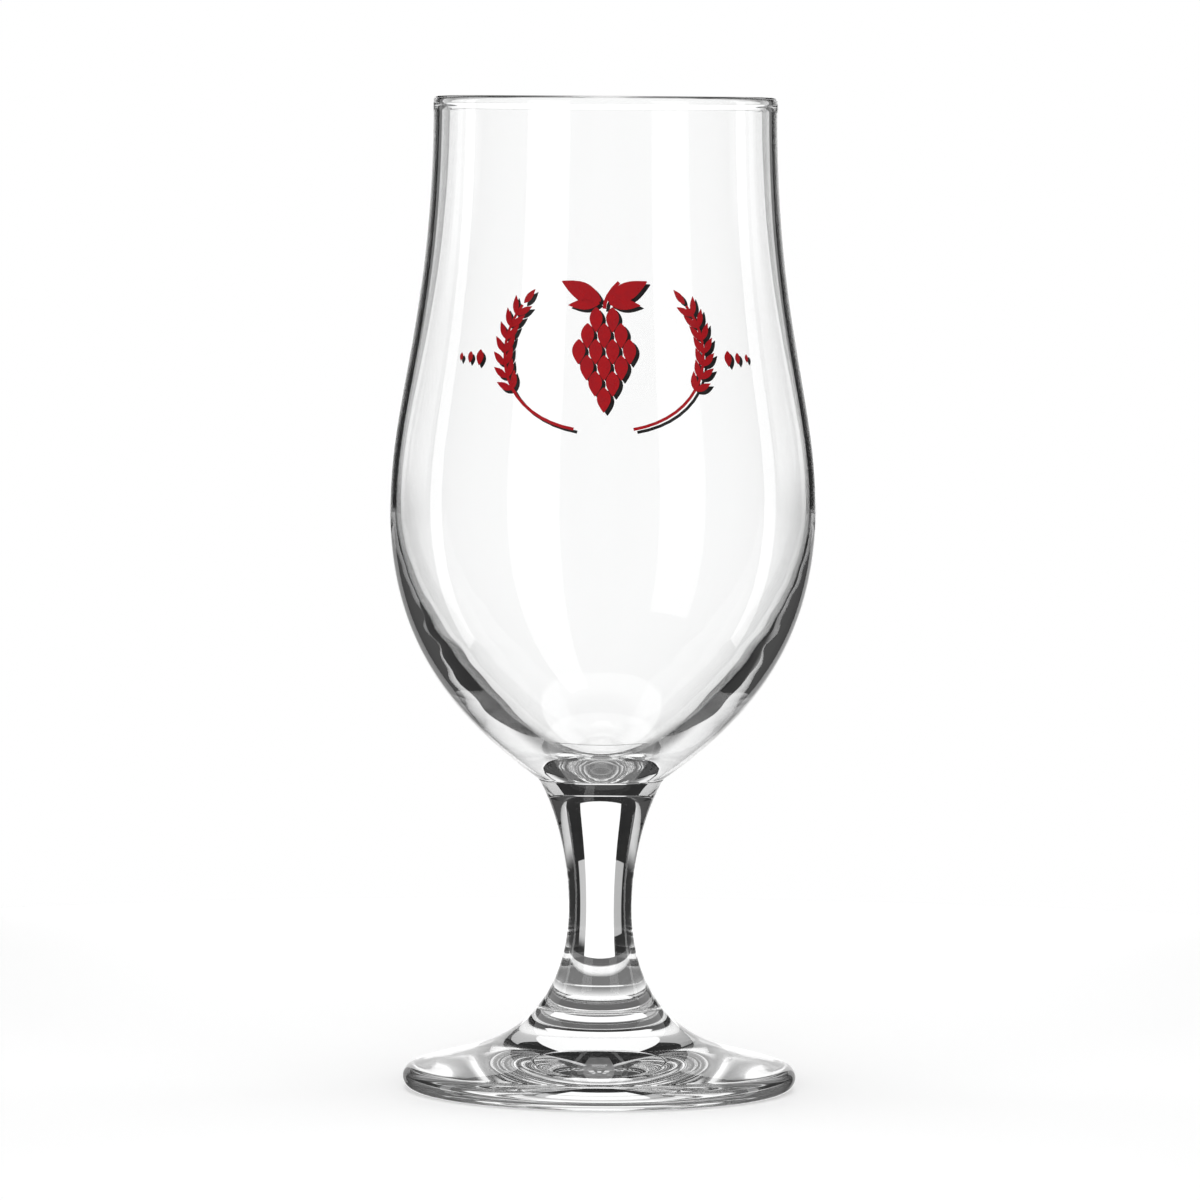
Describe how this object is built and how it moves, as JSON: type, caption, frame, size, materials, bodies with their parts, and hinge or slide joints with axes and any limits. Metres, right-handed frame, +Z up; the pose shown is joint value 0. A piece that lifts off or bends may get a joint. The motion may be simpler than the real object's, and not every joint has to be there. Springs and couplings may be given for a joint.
{
  "type": "tulip beer glass",
  "caption": "Clear footed beer glass with a tulip bowl that narrows to a rounded lip, a waisted stem and a round flared foot with a hollow underside.",
  "frame": {"origin": "centre of the ring that the glass stands on, at the surface under it", "axes": "+Z up along the axis of the glass, -Y towards the decorated side"},
  "size_m": [0.0858, 0.0858, 0.2],
  "materials": {
    "clear_glass": "polished",
    "red_enamel": "gloss",
    "black_enamel": "gloss"
  },
  "bodies": {
    "root": {"bowl": "clear_glass", "stem": "clear_glass", "foot": "clear_glass"}
  },
  "joints": []
}
